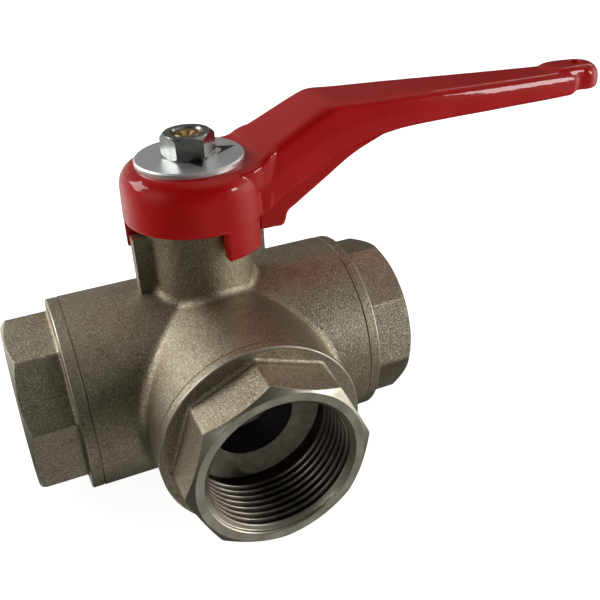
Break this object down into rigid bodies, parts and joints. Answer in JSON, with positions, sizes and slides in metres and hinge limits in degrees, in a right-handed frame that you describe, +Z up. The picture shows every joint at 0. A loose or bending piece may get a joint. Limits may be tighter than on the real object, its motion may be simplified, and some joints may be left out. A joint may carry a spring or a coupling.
{
  "type": "three way ball valve",
  "caption": "Three way ball valve: tee body with female threaded octagonal end connectors, L-bored ball on a stem, and a cranked red lever turning a quarter turn.",
  "frame": {"origin": "the ball's centre, where the three port axes and the stem axis cross", "axes": "+X out of the right run port, -Y out of the front branch port, +Z up along the stem"},
  "size_m": [0.1996, 0.088, 0.1062],
  "materials": {
    "nickel_brass": "shot-blasted nickel plating on brass",
    "machined_nickel_brass": "nickel plating over turned brass threads and faces",
    "chromed_ball": "polished hard chrome on brass",
    "bare_brass": "turned bare brass",
    "white_ptfe": "machined PTFE",
    "black_rubber": "moulded nitrile rubber",
    "red_paint": "glossy red enamel on die-cast aluminium",
    "satin_aluminium": "satin sheet with printed black arrowheads",
    "zinc_steel": "bright zinc plating"
  },
  "bodies": {
    "housing": {"valve_body": "nickel_brass", "rear_seat": "white_ptfe", "thrust_washer": "white_ptfe", "packing_ring_lower": "white_ptfe", "packing_ring_middle": "white_ptfe", "packing_ring_upper": "white_ptfe", "gland_ring": "bare_brass", "gland_nut": "machined_nickel_brass", "right_connector": "machined_nickel_brass", "right_joint_ring": "white_ptfe", "right_seat": "white_ptfe", "left_connector": "machined_nickel_brass", "left_joint_ring": "white_ptfe", "left_seat": "white_ptfe", "front_connector": "machined_nickel_brass", "front_joint_ring": "white_ptfe", "front_seat": "white_ptfe"},
    "lever": {"handle": "red_paint", "indicator_plate": "satin_aluminium", "handle_nut": "zinc_steel", "stem": "bare_brass", "stem_o_ring_lower": "black_rubber", "stem_o_ring_upper": "black_rubber"},
    "turning_ball": {"ball": "chromed_ball"}
  },
  "joints": [
    {"name": "lever_turn", "type": "hinge", "parent": "housing", "child": "lever", "pos_m": [0, 0, 0.058], "axis": [0, 0, 1], "range_deg": [-90, 0]},
    {"name": "ball_turn", "type": "hinge", "parent": "housing", "child": "turning_ball", "pos_m": [0, 0, 0], "axis": [0, 0, 1], "range_deg": [-90, 0]}
  ],
  "couplings": [
    {"joint": "ball_turn", "follows": "lever_turn", "ratio": 1}
  ]
}
